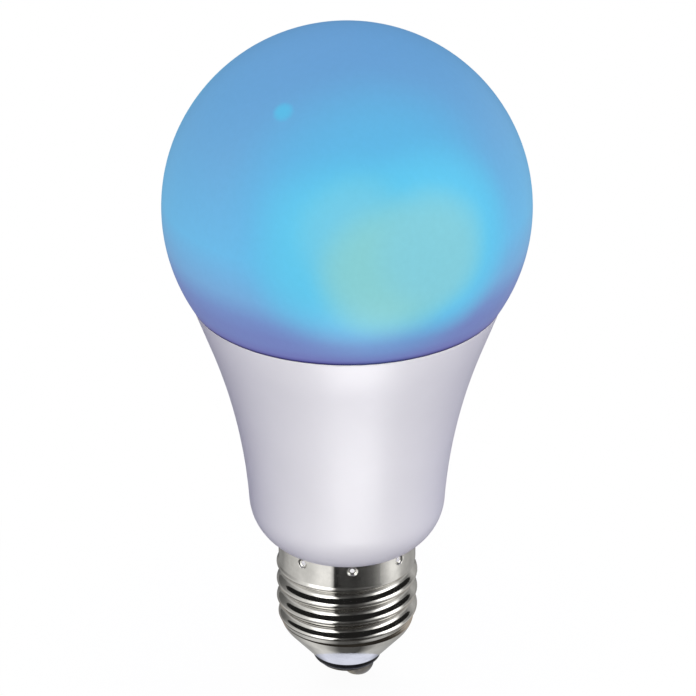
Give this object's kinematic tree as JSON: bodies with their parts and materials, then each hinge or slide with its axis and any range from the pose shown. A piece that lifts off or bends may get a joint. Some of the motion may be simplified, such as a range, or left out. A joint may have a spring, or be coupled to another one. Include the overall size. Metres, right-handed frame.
{
  "type": "led globe bulb",
  "caption": "Opal globe lamp with a white waisted housing, a diode board on an aluminium heat sink and a driver inside, on a 27 mm screw cap.",
  "frame": {"origin": "on the lamp's axis, level with the foot of the centre contact", "axes": "+Z along the axis from the contact to the top of the globe; +X towards the solder on the contact; -Y is the side that the picture shows"},
  "size_m": [0.067, 0.067, 0.1302],
  "materials": {
    "opal_diffuser": "opal, satin, lit from inside in blue",
    "silicone": "soft, satin",
    "white_housing": "moulded, semi-gloss",
    "spun_aluminium": "spun",
    "board_white_mask": "white solder mask on aluminium",
    "plated_steel": "zinc plated",
    "phosphor": "phosphor in a white package",
    "clear_lens_package": "clear resin in a white package",
    "connector_white": "moulded",
    "pin_brass": "plated",
    "connector_black": "moulded",
    "green_laminate": "glass-fibre laminate with solder mask",
    "ferrite": "ground ferrite",
    "winding_tape": "polyester tape over the winding",
    "capacitor_sleeve": "shrink sleeve",
    "choke_sleeve": "shrink sleeve on ferrite",
    "film_coating": "dipped epoxy",
    "chip_black": "moulded epoxy",
    "resistor_coating": "flameproof coating",
    "blue_laminate": "glass-fibre laminate with solder mask",
    "tinned_lid": "tinned",
    "live_insulation": "extruded",
    "neutral_insulation": "extruded",
    "bright_nickel": "bright nickel plate",
    "black_glass": "fused glass, glossy",
    "contact_brass": "plated, dulled",
    "solder": "tin solder, dull"
  },
  "bodies": {
    "root": {"diffuser_globe": "opal_diffuser", "seal_bead": "silicone", "housing": "white_housing", "heat_sink": "spun_aluminium", "led_board": "board_white_mask", "board_screws": "plated_steel", "white_emitters": "phosphor", "colour_emitters": "clear_lens_package", "board_socket": "connector_white", "header_pins": "pin_brass", "header_strip": "connector_black", "driver_board": "green_laminate", "transformer_core": "ferrite", "transformer_winding": "winding_tape", "bulk_capacitor": "capacitor_sleeve", "filter_capacitor": "capacitor_sleeve", "choke": "choke_sleeve", "film_capacitor": "film_coating", "driver_chip": "chip_black", "bridge_rectifier": "chip_black", "fuse_resistor": "resistor_coating", "radio_board": "blue_laminate", "radio_lid": "tinned_lid", "live_lead": "live_insulation", "neutral_lead": "neutral_insulation", "screw_shell": "bright_nickel", "cap_insulator": "black_glass", "centre_contact": "contact_brass", "contact_solder": "solder"}
  },
  "joints": []
}
